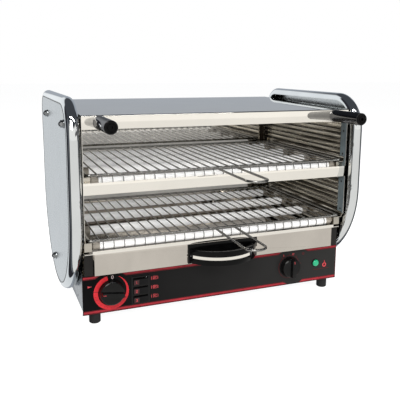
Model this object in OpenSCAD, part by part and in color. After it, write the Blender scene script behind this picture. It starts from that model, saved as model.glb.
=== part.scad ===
// Two-deck quartz toaster: an open-fronted stainless frame between two curved side cheeks, two
// wire racks over and under banks of quartz tubes, a crumb tray, and a control base on four feet.
// The heights and depths below are measured from the control panel: its face is the plane y = 0
// and its bottom edge is the level z = 0. The last step, place(), moves everything to the part's
// own origin: the middle of the bounding box at the soles of the feet, X across, Y to the back.

/* [Base] */
// Width of the control panel
panel_w = 560; // [540:1:580]
// Height of the control panel
panel_h = 78; // [74:1:82]
// Depth of the base casing behind the panel
base_d = 350; // [345:1:360]
// Height of the casing's underside above the panel's bottom edge
base_lift = 6; // [4:1:8]
// Radius of a rubber foot
foot_r = 11; // [9:1:14]
// Depth of the soles below the panel's bottom edge
foot_drop = 21.4; // [15:0.2:30]
// Distance of the feet from the middle, across
foot_x = 255; // [240:1:260]
// Distance of the front feet behind the panel face
foot_y = 16; // [14:1:30]

/* [Frame] */
// Half the distance between the inner side walls
wall_x = 276; // [275:0.5:277]
// Distance of the frame's front ahead of the control panel
frame_lead = 22; // [20:1:24]
// Distance of the frame's back behind the control panel
frame_back = 347; // [344:1:348]
// Place of the inner back wall behind the control panel
back_wall_y = 340; // [335:1:341]
// Level of the top of the front strip of the top cover
top_z = 378; // [374:1:382]
// Rise of the top cover from front to back
top_rise = 7; // [3:1:9]
// Height of the top cover's front strip
top_strip_h = 25; // [22:1:28]
// Level of the bottom edge of the middle strip
mid_strip_z = 235.5; // [234:0.5:237]
// Height of the middle strip
mid_strip_h = 22; // [20:0.5:23]
// Level of the top of the front sill over the crumb tray
sill_z = 127; // [126:0.5:127.5]
// Distance between neighbouring beads of the side walls
bead_pitch = 10.7; // [9:0.1:12]
// Thickness of the sheet steel
sheet = 1.2; // [1:0.1:1.5]

/* [Cheeks] */
// Place of the cheeks' inner faces from the middle
cheek_x = 281; // [280.5:0.5:283]
// Depth of the rolled rim, which is the thickness of a cheek
cheek_t = 24; // [20:1:28]
// Distance of the rim's front ahead of the control panel
cheek_lead = 43; // [40:1:48]
// Radius of the round bottom, which is half the depth of a cheek
cheek_r = 195; // [190:1:198]
// Level of the centre of the round bottom
cheek_zc = 208; // [205:1:212]
// Level of the flat top
cheek_top = 409; // [400:1:420]
// Radius of the front top corner
cheek_front_r = 75; // [60:1:90]
// Radius of the back top corner
cheek_back_r = 45; // [35:1:60]
// Width of the inner lip beyond the roll
cheek_lip = 3; // [3:1:10]

/* [Racks] */
// Level of the upper rack
upper_rack_z = 270; // [269:0.5:272]
// Level of the lower rack
lower_rack_z = 148.7; // [148:0.1:151]
// Distance between neighbouring rack wires
wire_pitch = 20; // [18:0.5:22]
// Number of rack wires
wire_count = 26; // [24:1:26]
// Radius of a rack wire
wire_r = 1.5; // [1.2:0.1:2]
// Radius of the rod that frames a rack
rail_r = 2.5; // [2:0.1:2.8]
// Half the width of a rack, at the middle of its side rails
rack_x = 270; // [268:0.5:270]
// Place of a rack's front rail ahead of the panel
rack_lead = 16; // [14:1:18]
// Place of a rack's back rail behind the panel
rack_back = 306; // [295:1:325]
// Half the width of a rack's loop handle
loop_x = 20; // [16:1:24]
// Reach of the loop handle ahead of the panel
loop_lead = 168; // [120:1:175]

/* [Heating] */
// Radius of a quartz tube
tube_r = 9; // [7:0.5:9]
// Half the length of a quartz tube
tube_x = 246; // [240:1:250]
// Number of tubes in a bank
tube_count = 4; // [3:1:4]
// Distance between neighbouring tubes
tube_pitch = 97; // [90:1:97]
// Place of the front tube behind the panel face
tube_y = 2; // [1:0.5:3]
// Level of the lower bank
lower_tube_z = 135; // [134.5:0.5:136]
// Level of the middle bank
middle_tube_z = 256.5; // [254:0.5:257]
// Level of the top bank
top_tube_z = 361; // [358:1:362]
// Radius of a guard wire
guard_wire_r = 0.8; // [0.6:0.1:1]

/* [Crumb tray] */
// Half the width of the crumb tray's front
tray_x = 258; // [254:1:258.5]
// Distance of the tray's front ahead of the panel
tray_lead = 10; // [8:1:12]
// Level of the tray front's bottom edge
tray_z = 79; // [78.6:0.1:80]
// Height of the tray front
tray_front_h = 41.5; // [38:0.5:42]
// Half the width of the bow handle
bow_x = 75; // [60:1:90]
// Reach of the bow handle ahead of the tray front
bow_reach = 45; // [35:1:50]
// Height of the bow handle's bar
bow_h = 28; // [24:1:30]

/* [Controls] */
// Place of the timer knob, across
timer_x = -225.5; // [-228:0.5:-222]
// Place of the selector knob, across
selector_x = 161; // [150:0.5:165]
// Level of both knobs
knob_z = 41; // [39:0.5:43]
// Radius of the timer knob
timer_r = 24.5; // [20:0.5:26]
// Radius of the selector knob
selector_r = 22; // [18:0.5:24]
// Place of the three rocker switches, across
rocker_x = -168.5; // [-172:0.5:-166]
// Level of the middle rocker
rocker_z = 36.5; // [36:0.5:39]
// Distance between neighbouring rockers
rocker_pitch = 18; // [17.5:0.5:18.5]
// Width of a rocker
rocker_w = 28; // [24:1:30]
// Lean of a rocker either way from its middle
rocker_tilt = 7; // [5:1:8]
// Place of the pilot lamp, across
lamp_x = 226.5; // [215:0.5:235]
// Radius of the pilot lamp's lens
lamp_r = 7.5; // [6:0.5:9]

/* [Front handles] */
// Distance of the front handles from the middle
handle_x = 244.5; // [235:0.5:250]
// Level of the front handles
handle_z = 365; // [363:0.5:366]
// Radius of a front handle
handle_r = 12; // [10:0.5:12.5]
// Reach of the front handles ahead of the strip
handle_reach = 87; // [70:1:100]

/* [Hidden] */

$fn = 48;
eps = 0.01;          // a cut's overrun past the face that it opens
gap = 0.3;           // space between pieces of different bodies
frame_gap = 0.2;     // space between neighbouring sheets
wide = 1000;         // longer than any piece, for cutting
through = 5;         // half the length of a cut through a sheet

base_x = panel_w / 2 - 1;
panel_t = 1.5;
film_t = 0.3;
cheek_yc = cheek_r - cheek_lead;
cheek_back = 2 * cheek_r - cheek_lead;
roll_r = cheek_t / 2;
gland_reach = 18;
gland_x = 180;
gland_z = 40;
bolt_hole_r = 3.3;
loop_r = 2.25;
front_y = -loop_lead - loop_r;
back_y = base_d + gland_reach;
strip_y = -frame_lead - sheet;
frame_top = top_z - sheet - frame_gap;
frame_x = wall_x + sheet + frame_gap;
bend_r = 3;          // radius of the top cover's front bend
post_d = 20;         // depth of the flat front of a side wall
corner_w = 19;       // width of the recess in each back corner
rack_w = wire_pitch * (wire_count - 1);
bow_r = (bow_x * bow_x + bow_reach * bow_reach) / (2 * bow_reach);
bow_cy = -tray_lead - bow_reach + bow_r;
bow_a = asin(bow_x / bow_r);
bow_t = 9;
bow_z = tray_z + 4;
band_z = bow_z + 11;
band_h = 6;
band_t = 0.8;
screw_x = bow_x - 6;
screw_z = bow_z + bow_h / 2;
neck_r = 5.5;
bracket_x = 262;
plate_y = -10.5;     // the front of the plates beside the tubes and the tray
shaft_r = 3;
pivot_y = 4;         // depth of the rocker pivots behind the panel face
window_w = rocker_w + 1;
window_h = 14.8;
bezel_w = rocker_w + 9;
bezel_h = 2 * rocker_pitch + window_h + 5;

// Middle levels of the three banks of tubes
BANKS = [lower_tube_z, middle_tube_z, top_tube_z];
// Lowest levels of the beads on the side walls, and how many there are above each
BEADS = [[162.5, 7], [283.5, 6]];
// The lower part of a side wall's front edge, as [y, z]: it leans back from the lower deck to the base
lean_top = 152;
WALL_LEAN = [[8, panel_h - 1], [-9.5, lean_top - 10], [-frame_lead, lean_top]];
// Places of the cheek bolts on the side of the machine, as [y, z]
UPPER_BOLTS = [[-6, 363], [232, 363]];
LOWER_BOLT = [172, 67];
SIDES = [-1, 1];

// Moves the children from the panel's corner to the part's own origin
module place() {
    translate([0, -(front_y + back_y) / 2, foot_drop]) children();
}

// A box from its lowest corner to its highest
module block(low, high) {
    translate(low) cube(high - low);
}

// A cylinder along X, from x0 to x1, with its axis at [y, z]
module rod_x(x0, x1, y, z, r) {
    translate([x0, y, z]) rotate([0, 90, 0]) cylinder(h = x1 - x0, r = r);
}

// A cylinder along Y, from y0 to y1, with its axis at [x, z]
module rod_y(y0, y1, x, z, r) {
    translate([x, y0, z]) rotate([-90, 0, 0]) cylinder(h = y1 - y0, r = r);
}

// A rectangle from its lowest corner to its highest
module block2(low, high) {
    translate(low) square(high - low);
}

// Sets a profile drawn in Y and Z across the machine, from -half to half
module across(half) {
    translate([-half, 0, 0]) rotate([90, 0, 90]) linear_extrude(2 * half) children();
}

// ---------------------------------------------------------------- base

module base_housing() color("gainsboro") place() difference() {
    block([-base_x, panel_t, base_lift], [base_x, base_d, panel_h]);
    block([-base_x + sheet, panel_t - 1, base_lift - 1], [base_x - sheet, base_d - sheet, panel_h - sheet]);
    rod_y(base_d - through, base_d + through, gland_x, gland_z, 9);
    for (side = SIDES)
        rod_x(side * base_x - through, side * base_x + through, LOWER_BOLT[0], LOWER_BOLT[1], bolt_hole_r);
}

module bottom_cover() color("silver") place() difference() {
    inset = sheet + frame_gap;
    block([-base_x + inset, panel_t + frame_gap, base_lift],
          [base_x - inset, base_d - inset, base_lift + sheet]);
    for (side = SIDES, y = [foot_y, base_d - foot_y])
        translate([side * foot_x, y, base_lift - 1]) cylinder(h = 5, r = 3.2);
    for (i = [-6 : 6]) block([i * 30 - 3, 120, base_lift - 1], [i * 30 + 3, 200, base_lift + 5]);
}

// The holes that the controls pass through, in the panel and in its printed film alike
module control_holes() {
    for (x = [timer_x, selector_x]) rod_y(-through, through, x, knob_z, 4.5);
    rod_y(-through, through, lamp_x, knob_z, 6.2);
    block([rocker_x - bezel_w / 2 + 1.5, -through, rocker_z - bezel_h / 2 + 1.5],
          [rocker_x + bezel_w / 2 - 1.5, through, rocker_z + bezel_h / 2 - 1.5]);
}

module control_panel() color("dimgray") place() difference() {
    union() {
        block([-panel_w / 2, film_t, 0], [panel_w / 2, panel_t, panel_h]);
        block([-panel_w / 2, panel_t - eps, 0], [panel_w / 2, 4, 1.5]);
    }
    control_holes();
}

module panel_overlay() color([0.13, 0.13, 0.14]) place() difference() {
    block([-panel_w / 2 + 0.5, 0, 0.5], [panel_w / 2 - 0.5, film_t, panel_h - 0.5]);
    control_holes();
}

module feet() color("black") place()
    for (side = SIDES, y = [foot_y, base_d - foot_y]) translate([side * foot_x, y, 0]) difference() {
        rotate_extrude() polygon([
            [0, -foot_drop], [foot_r - 1.5, -foot_drop], [foot_r, 1.5 - foot_drop],
            [foot_r, base_lift], [0, base_lift]
        ]);
        translate([0, 0, -foot_drop - 1]) cylinder(h = 9, r = 6);
        translate([0, 0, -foot_drop]) cylinder(h = wide, r = 2.7);
    }

module foot_screws() color("silver") place()
    for (side = SIDES, y = [foot_y, base_d - foot_y]) translate([side * foot_x, y, 0]) {
        translate([0, 0, 8 - foot_drop - 3]) cylinder(h = 3, r = 5);
        translate([0, 0, 8 - foot_drop]) cylinder(h = foot_drop + base_lift + 2, r = 2.5);
    }

// ---------------------------------------------------------------- cheeks

// The outline of a cheek, drawn inside its own edge by the inset, in Y and Z
module cheek_outline(inset) {
    front = -cheek_lead;
    back = cheek_back;
    top = cheek_top - inset;
    translate([cheek_yc, cheek_zc]) circle(r = cheek_r - inset, $fn = 96);
    translate([front + inset, cheek_zc])
        square([2 * (cheek_r - inset), cheek_top - cheek_front_r - cheek_zc]);
    translate([front + cheek_front_r, cheek_top - cheek_front_r]) circle(r = cheek_front_r - inset);
    translate([back - cheek_back_r, cheek_top - cheek_back_r]) circle(r = cheek_back_r - inset);
    translate([front + cheek_front_r, cheek_zc])
        square([2 * cheek_r - cheek_front_r - cheek_back_r, top - cheek_zc]);
    translate([cheek_yc, cheek_zc]) square([cheek_r - inset, cheek_top - cheek_back_r - cheek_zc]);
}

// Half of a thin pipe's section, bulging towards -x from the line x = 0
module roll_section() {
    difference() {
        circle(r = roll_r);
        circle(r = roll_r - sheet);
        translate([0, -wide / 2]) square([wide, wide]);
    }
}

// A straight stretch of the rolled rim along +X, bulging towards -Y
module straight_roll(length) {
    rotate([90, 0, 90]) linear_extrude(length) roll_section();
}

// A curved stretch of the rolled rim round the origin, bulging outwards, from 0 to angle
module curved_roll(r, angle) {
    rotate_extrude(angle = angle, $fn = 96) translate([r - roll_r, 0]) mirror([1, 0]) roll_section();
}

// A cheek's rolled rim and inner lip, lying in the cheek's own plane: Y becomes x, Z becomes y, and
// the roll is centred on z = 0
module flat_rim() {
    translate([0, 0, -roll_r]) linear_extrude(sheet) difference() {
        cheek_outline(roll_r - eps);
        cheek_outline(roll_r + cheek_lip);
    }
    front_top = cheek_top - cheek_front_r;
    back_top = cheek_top - cheek_back_r;
    translate([cheek_yc, cheek_zc, 0]) rotate([0, 0, 180]) curved_roll(cheek_r, 180);
    translate([cheek_front_r - cheek_lead, front_top, 0]) rotate([0, 0, 90]) curved_roll(cheek_front_r, 90);
    translate([cheek_back - cheek_back_r, back_top, 0]) curved_roll(cheek_back_r, 90);
    translate([roll_r - cheek_lead, front_top, 0]) rotate([0, 0, -90]) straight_roll(front_top - cheek_zc);
    translate([cheek_back - roll_r, cheek_zc, 0]) rotate([0, 0, 90]) straight_roll(back_top - cheek_zc);
    translate([cheek_back - cheek_back_r, cheek_top - roll_r, 0]) rotate([0, 0, 180])
        straight_roll(2 * cheek_r - cheek_front_r - cheek_back_r);
}

// Stands a piece of a cheek up at its side of the machine
module at_cheek(side) {
    place() mirror([side < 0 ? 1 : 0, 0, 0]) translate([cheek_x + roll_r, 0, 0])
        rotate([90, 0, 90]) children();
}

module cheek(side) color("lightsteelblue") at_cheek(side) difference() {
    translate([0, 0, roll_r - sheet]) linear_extrude(sheet) cheek_outline(roll_r);
    for (p = concat(UPPER_BOLTS, [LOWER_BOLT]))
        translate([p[0], p[1], 0]) cylinder(h = wide, r = bolt_hole_r);
}

module cheek_left() cheek(-1);
module cheek_right() cheek(1);
module cheek_rim_left() color("lightsteelblue") at_cheek(-1) flat_rim();
module cheek_rim_right() color("lightsteelblue") at_cheek(1) flat_rim();

// A domed nut outside the cheek, on a screw that ends at the sheet it holds
module cheek_bolt(p, inner) {
    face = cheek_x + cheek_t;
    rod_x(face, face + 1.2, p[0], p[1], 8);
    translate([face + 1.2, p[0], p[1]]) rotate([0, 90, 0]) cylinder(h = 4.5, r = 6.6, $fn = 6);
    translate([face + 5.7, p[0], p[1]]) rotate([0, 90, 0]) intersection() {
        translate([0, 0, -2]) sphere(r = 5.6);
        cylinder(h = 10, r = 6);
    }
    rod_x(inner - 4, face + eps, p[0], p[1], 3);
}

module cheek_bolts() color("silver") place() for (side = SIDES) mirror([side < 0 ? 1 : 0, 0, 0]) {
    for (p = UPPER_BOLTS) cheek_bolt(p, wall_x);
    cheek_bolt(LOWER_BOLT, base_x - sheet);
}

module cheek_spacers() color("black") place() for (side = SIDES) mirror([side < 0 ? 1 : 0, 0, 0])
    for (p = concat(UPPER_BOLTS, [LOWER_BOLT])) {
        inner = p == LOWER_BOLT ? base_x : wall_x + sheet;
        difference() {
            rod_x(inner, cheek_x + cheek_t - sheet, p[0], p[1], 9);
            rod_x(inner - 1, cheek_x + cheek_t, p[0], p[1], 3.2);
        }
    }

// ---------------------------------------------------------------- frame

// A side wall: an upright sheet with a flat front, beads behind it, and a flange at the back
module side_wall(side) color("darkgray") place() mirror([side < 0 ? 1 : 0, 0, 0]) difference() {
    union() {
        block([wall_x, -frame_lead, panel_h], [wall_x + sheet, frame_back, frame_top]);
        block([wall_x - corner_w, frame_back - sheet, panel_h], [wall_x + sheet, frame_back, frame_top]);
        for (row = BEADS, i = [0 : row[1] - 1])
            bead(row[0] + i * bead_pitch);
    }
    for (p = UPPER_BOLTS) rod_x(wall_x - through, wall_x + through, p[0], p[1], bolt_hole_r);
    for (z = [162, 222, 282, 331]) rod_x(wall_x - through, wall_x + through, post_d / 2 - frame_lead, z, 2);
    translate([wall_x - through, 0, 0]) rotate([90, 0, 90]) linear_extrude(2 * through)
        polygon(concat(WALL_LEAN, [[-frame_lead - 1, lean_top], [-frame_lead - 1, panel_h - 1]]));
}

// A bead pressed into the side wall at a level, from behind its flat front to the back wall
module bead(z) {
    rod_y(post_d - frame_lead, back_wall_y - 4, wall_x + 0.2, z, 1.6, $fn = 12);
}

module side_wall_left() side_wall(-1);
module side_wall_right() side_wall(1);

module back_wall() color("gray") place() {
    inner = wall_x - corner_w;
    high = frame_top - 4;
    block([-inner, back_wall_y, panel_h], [inner, back_wall_y + sheet, high]);
    for (side = SIDES) mirror([side < 0 ? 1 : 0, 0, 0])
        block([inner - sheet, back_wall_y, panel_h], [inner, frame_back - sheet - eps, high]);
}

module back_cover() color("silver") place() difference() {
    block([-frame_x, frame_back + frame_gap, panel_h],
          [frame_x, frame_back + frame_gap + sheet, top_z - 24]);
    for (i = [-8 : 8], j = [0 : 2])
        block([i * 28 - 9, frame_back - 5, 250 + j * 24], [i * 28 + 9, frame_back + 5, 254 + j * 24]);
}

// An arc of the top cover's front bend, from its front face to its top
function bend_arc(r) =
    [for (a = [180 : -15 : 90]) [strip_y + bend_r + r * cos(a), top_z - bend_r + r * sin(a)]];

// The top cover: a front strip, a round bend, a top that rises to the back, and a lip down the back
module top_cover() color("slategray") place() {
    back = frame_back + 2 * sheet + 2 * frame_gap;
    high = top_z + top_rise;
    low = top_z - top_strip_h;
    back_low = top_z - 22;
    inside = bend_arc(bend_r - sheet);
    across(frame_x) polygon(concat(
        [[strip_y, low]], bend_arc(bend_r), [[back, high], [back, back_low], [back - sheet, back_low]],
        [[back - sheet, high - sheet]], [for (i = [len(inside) - 1 : -1 : 0]) inside[i]],
        [[strip_y + sheet, low]]
    ));
    across(wall_x - 2) block2([strip_y, low], [10 - frame_lead, low + sheet]);
}

module top_reflector() color("silver") place() across(wall_x - frame_gap)
    block2([12 - frame_lead, frame_top - 5], [back_wall_y - frame_gap, frame_top - 5 + sheet]);

// The strip in front of the middle bank, a channel open to the back
module middle_strip() color("linen") place() {
    low = mid_strip_z;
    high = mid_strip_z + mid_strip_h;
    block([-frame_x, strip_y, low], [frame_x, -frame_lead, high]);
    for (z = [low, high - sheet])
        block([frame_gap - wall_x, -frame_lead - eps, z], [wall_x - frame_gap, 10 - frame_lead, z + sheet]);
}

// The bright lip over the crumb tray's front, with a flange that reaches both side walls
module front_sill() color("white") place() {
    low = tray_z + tray_front_h + gap;
    face = -tray_lead - 2;
    block([-tray_x - 3, face, low], [tray_x + 3, face + sheet, sill_z]);
    block([frame_gap - wall_x, face + sheet - eps, low], [wall_x - frame_gap, plate_y + 5, low + sheet]);
}

// Angles on the side walls that the racks slide on
module rack_runners() color("silver") place()
    for (side = SIDES, z = [lower_rack_z, upper_rack_z]) mirror([side < 0 ? 1 : 0, 0, 0]) {
        top = z - rail_r - gap;
        inner = wall_x - frame_gap;
        block([inner - 12, 4 - frame_lead, top - 1], [inner, back_wall_y - frame_gap, top]);
        block([inner - 1, 4 - frame_lead, top - 1], [inner, back_wall_y - frame_gap, top + 10]);
    }

// Angles on the base that the crumb tray slides on, with plates that close the front beside the tray
module tray_runners() color("silver") place() for (side = SIDES) mirror([side < 0 ? 1 : 0, 0, 0]) {
    inner = wall_x - frame_gap;
    top = panel_h + 6;
    high = tray_z + tray_front_h;
    block([tray_x - 16, -2, top - 1], [inner, back_wall_y - frame_gap, top]);
    block([inner - 1, -2, panel_h], [inner, back_wall_y - frame_gap, top]);
    block([tray_x + 1.5, -4, panel_h + 0.2], [inner, -2 + eps, high]);
}

// ---------------------------------------------------------------- heating

module at_tubes(z) {
    for (i = [0 : tube_count - 1]) translate([0, tube_y + i * tube_pitch, z]) children();
}

// The plates that the tubes' ends hang in, one for each end of a bank, with a flange at the front
module tube_brackets() color("darkgray") place() for (side = SIDES, z = BANKS)
    mirror([side < 0 ? 1 : 0, 0, 0]) difference() {
        inner = wall_x - frame_gap;
        low = z - 8;
        high = z + 8;
        union() {
            block([bracket_x, plate_y, low], [bracket_x + sheet, back_wall_y - 1, high]);
            block([bracket_x, plate_y, low], [inner, back_wall_y - 1, low + 1]);
            block([bracket_x, plate_y, low], [inner, plate_y + 1, high]);
        }
        at_tubes(z) rod_x(bracket_x - through, bracket_x + through, 0, 0, neck_r + 0.1);
    }

module tube_bank(z) color("white") place() at_tubes(z) difference() {
    rod_x(-tube_x, tube_x, 0, 0, tube_r);
    rod_x(-tube_x - 1, tube_x + 1, 0, 0, tube_r - 1.3);
}

module tubes_top() tube_bank(top_tube_z);
module tubes_middle() tube_bank(middle_tube_z);
module tubes_lower() tube_bank(lower_tube_z);

module coil_bank(z) color("peru") place() at_tubes(z) rod_x(-tube_x + 4, tube_x - 4, 0, 0, 3);

module coils_top() coil_bank(top_tube_z);
module coils_middle() coil_bank(middle_tube_z);
module coils_lower() coil_bank(lower_tube_z);

// Ceramic caps on both ends of every tube, with a neck through the bracket
module tube_caps() color("ivory") place() for (side = SIDES, z = BANKS)
    mirror([side < 0 ? 1 : 0, 0, 0]) at_tubes(z) {
        rod_x(tube_x - 3, tube_x, 0, 0, tube_r - 1.4);
        rod_x(tube_x, bracket_x - 3, 0, 0, tube_r - 0.5);
        rod_x(bracket_x - 3 - eps, wall_x - 4, 0, 0, neck_r);
    }

// Thin wires bent round the front of the first tube, welded to two long rods
module guard(z) color("gray") place() translate([0, tube_y, z]) {
    r = tube_r + 0.3 + guard_wire_r;
    for (i = [0 : wire_count - 2]) translate([(i + 0.5) * wire_pitch - rack_w / 2, 0, 0]) rotate([0, 90, 0])
        rotate([0, 0, 210]) rotate_extrude(angle = 120, $fn = 36)
            translate([r, 0]) circle(r = guard_wire_r, $fn = 12);
    for (a = [130, 230]) rod_x(-rack_w / 2, rack_w / 2, r * cos(a), r * sin(a), guard_wire_r, $fn = 12);
}

module guard_middle() guard(middle_tube_z);
module guard_lower() guard(lower_tube_z);

// ---------------------------------------------------------------- racks

// A quarter of a rod ring round the origin, in the first quadrant
module rod_corner(r) {
    rotate_extrude(angle = 90) translate([r, 0]) circle(r = rail_r);
}

// A wire rack: a round-cornered frame of rod, wires from front to back, and three cross rods
module rack(z) color("silver") place() translate([0, 0, z]) {
    corner = 8;
    middle = (rack_back - rack_lead) / 2;
    half_d = (rack_back + rack_lead) / 2;
    for (sx = [0, 1], sy = [0, 1]) mirror([sx, 0, 0]) translate([0, middle, 0]) mirror([0, sy, 0])
        translate([rack_x - corner, half_d - corner, 0]) rod_corner(corner);
    for (side = SIDES) rod_y(corner - rack_lead, rack_back - corner, side * rack_x, 0, rail_r);
    for (y = [-rack_lead, rack_back]) rod_x(corner - rack_x, rack_x - corner, y, 0, rail_r);
    for (i = [0 : wire_count - 1]) rod_y(-rack_lead, rack_back, i * wire_pitch - rack_w / 2, 0.4, wire_r);
}

// The loop at the front of a rack: two legs and a round end
module rack_handle(z) color("silver") place() translate([0, 0, z]) {
    start = -rack_lead - rail_r;
    turn = -loop_lead + loop_x;
    for (side = SIDES) rod_y(turn, start, side * loop_x, 0, loop_r);
    translate([0, turn, 0]) rotate([0, 0, 180]) rotate_extrude(angle = 180)
        translate([loop_x, 0]) circle(r = loop_r);
}

module upper_rack() rack(upper_rack_z);
module upper_rack_handle() rack_handle(upper_rack_z);
module lower_rack() rack(lower_rack_z);
module lower_rack_handle() rack_handle(lower_rack_z);

// ---------------------------------------------------------------- crumb tray

// The tray: a pan that slides under the lower bank, with a taller front plate
module crumb_tray() color("linen") place() {
    floor_z = panel_h + 6 + gap;
    pan_x = tray_x - 1.5;
    wall_h = 20;
    t = 1;
    back = back_wall_y - 8;
    front = t - tray_lead;
    difference() {
        block([-tray_x, -tray_lead, tray_z], [tray_x, front, tray_z + tray_front_h]);
        for (side = SIDES) rod_y(-tray_lead - through, through - tray_lead, side * screw_x, screw_z, 2.2);
    }
    block([-pan_x, front - eps, floor_z], [pan_x, back, floor_z + t]);
    for (side = SIDES) mirror([side < 0 ? 1 : 0, 0, 0])
        block([pan_x - t, front - eps, floor_z], [pan_x, back, floor_z + wall_h]);
    block([-pan_x, back - t, floor_z], [pan_x, back, floor_z + wall_h]);
}

// A sector of a flat ring round the bow's centre, facing the front
module bow_ring(outer, inner, angle, height) {
    rotate([0, 0, -90 - angle]) rotate_extrude(angle = 2 * angle, $fn = 120)
        translate([inner, 0]) square([outer - inner, height]);
}

// The bow handle: a curved bar with a groove for its bright band, on a back plate
module tray_handle() color([0.05, 0.05, 0.05]) place() difference() {
    union() {
        intersection() {
            translate([0, bow_cy, bow_z]) bow_ring(bow_r, bow_r - bow_t, bow_a, bow_h);
            block([-bow_x, -wide, 0], [bow_x, -tray_lead, wide]);
        }
        block([-bow_x, -tray_lead - 3, bow_z - 2], [bow_x, -tray_lead, tray_z + tray_front_h - 1]);
    }
    translate([0, bow_cy, band_z]) bow_ring(bow_r + 5, bow_r - band_t - 0.05, bow_a + 5, band_h);
    for (side = SIDES) rod_y(-tray_lead - 7, through - tray_lead, side * screw_x, screw_z, 2.2);
}

module tray_handle_band() color("linen") place() translate([0, bow_cy, band_z + 0.05])
    bow_ring(bow_r, bow_r - band_t, bow_a * 0.86, band_h - 0.1);

module tray_handle_screws() color("silver") place() for (side = SIDES) {
    rod_y(-tray_lead - 6, 2 - tray_lead, side * screw_x, screw_z, 2);
    rod_y(1 - tray_lead + frame_gap, 3 - tray_lead, side * screw_x, screw_z, 4);
}

// ---------------------------------------------------------------- front handles

module front_handle(side) color("silver") place() difference() {
    union() {
        rod_y(strip_y - handle_reach, strip_y, side * handle_x, handle_z, handle_r);
        rod_y(strip_y - 2.5, strip_y, side * handle_x, handle_z, handle_r + 0.8);
    }
    rod_y(strip_y - handle_reach - 1, strip_y + 1, side * handle_x, handle_z, handle_r - 1.5);
}

module handle_left() front_handle(-1);
module handle_right() front_handle(1);

// Black plugs that close the handles' ends, each with a ring groove and a centre hole
module handle_plugs() color("black") place() for (side = SIDES)
    translate([side * handle_x, strip_y - handle_reach, handle_z]) rotate([90, 0, 0])
    rotate_extrude() polygon([
        [0, -10], [handle_r - 1.6, -10], [handle_r - 1.6, 0], [handle_r - 0.4, 0], [handle_r - 1, 1.6],
        [handle_r - 4, 2.4], [handle_r - 4.6, 1], [handle_r - 6, 1], [handle_r - 6.6, 2.4], [3, 2.4],
        [2.4, -2], [0, -2]
    ]);

// ---------------------------------------------------------------- controls

// A round control knob: a skirt, a tapering body, and a straight grip across it that points at a
module knob(x, r, a) place() translate([x, 0, knob_z]) rotate([90, 0, 0]) rotate([0, 0, a]) difference() {
    union() {
        rotate_extrude() polygon([
            [0, 1.5], [r, 1.5], [r, 4], [r - 0.6, 5], [r - 1.6, 12], [r - 3.5, 13.5], [0, 13.5]
        ]);
        intersection() {
            block([-r + 0.5, -4, 13], [r - 0.5, 4, 23]);
            rotate_extrude() polygon([[0, 10], [r - 2.2, 10], [r - 3.6, 23], [0, 23]]);
        }
    }
    translate([0, 0, 1]) cylinder(h = 15, r = shaft_r);
}

module shaft(x) color("silver") place() rod_y(-16, 30, x, knob_z, shaft_r);

// A control's body behind the panel, with the bush that its shaft turns in
module control_body(x, w, h, d) place() difference() {
    union() {
        block([x - w / 2, 8, knob_z - h / 2], [x + w / 2, 8 + d, knob_z + h / 2]);
        rod_y(panel_t + 0.2, 8 + eps, x, knob_z, 6);
    }
    rod_y(0, 30.5, x, knob_z, shaft_r + 0.06);
}

module timer_knob() color([0.06, 0.06, 0.06]) knob(timer_x, timer_r, 172);
module timer_shaft() shaft(timer_x);
module timer_body() color("khaki") control_body(timer_x, 46, 52, 34);
module selector_knob() color([0.06, 0.06, 0.06]) knob(selector_x, selector_r, 90);
module selector_shaft() shaft(selector_x);
module selector_body() color("tan") control_body(selector_x, 40, 44, 30);

// The frame round the three rockers, with the holes for their pivots
module rocker_bezel() color([0.08, 0.08, 0.08]) place() translate([rocker_x, 0, rocker_z]) difference() {
    union() {
        block([-bezel_w / 2, -1.2, -bezel_h / 2], [bezel_w / 2, 0, bezel_h / 2]);
        block([2 - bezel_w / 2, -0.5, 2 - bezel_h / 2], [bezel_w / 2 - 2, 8, bezel_h / 2 - 2]);
    }
    for (i = [-1 : 1]) translate([0, 0, i * rocker_pitch]) {
        block([-window_w / 2, -5, -window_h / 2], [window_w / 2, 9, window_h / 2]);
        rod_x(-window_w / 2 - 1.6, window_w / 2 + 1.6, pivot_y, 0, 1.27);
    }
}

// A rocker with a hollowed face, leaning on its pivot pins
module rocker(i) color([0.1, 0.1, 0.1]) place()
    translate([rocker_x, pivot_y, rocker_z - i * rocker_pitch]) rotate([rocker_tilt, 0, 0]) {
        rotate([90, 0, 90]) translate([0, 0, -rocker_w / 2]) linear_extrude(rocker_w)
            polygon([[-7.6, 5.9], [-6.2, 0], [-7.6, -5.9], [-2, -5.6], [1.8, -3], [1.8, 3], [-2, 5.6]]);
        rod_x(-window_w / 2 - 1.4, window_w / 2 + 1.4, 0, 0, 1.2);
    }

module rocker_1() rocker(-1);
module rocker_2() rocker(0);
module rocker_3() rocker(1);

module switch_body() color("dimgray") place() for (i = [-1 : 1]) translate([rocker_x, 0, rocker_z])
    block([-14, 8.3, i * rocker_pitch - 7], [14, 34, i * rocker_pitch + 7]);

module pilot_bezel() color([0.1, 0.1, 0.1]) place() translate([lamp_x, 0, knob_z]) rotate([90, 0, 0])
    rotate_extrude() polygon([
        [lamp_r - 2.5, -7], [lamp_r - 1.4, -7], [lamp_r - 1.4, 0], [lamp_r + 1.5, 0], [lamp_r + 1.2, 1.2],
        [lamp_r + 0.1, 1.4], [lamp_r - 2.5, 1.4]
    ]);

module pilot_lens() color("seagreen") place() translate([lamp_x, 0, knob_z]) rotate([90, 0, 0])
    rotate_extrude() polygon(concat(
        [[0, -7], [lamp_r - 2.6, -7], [lamp_r - 2.6, 1.5], [lamp_r - 0.2, 1.5]],
        [for (a = [0 : 15 : 90]) [(lamp_r - 0.2) * cos(a), 2.2 + 2.8 * sin(a)]]
    ));

module pilot_body() color("gray") place() rod_y(7.2, 26, lamp_x, knob_z, 6);

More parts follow.
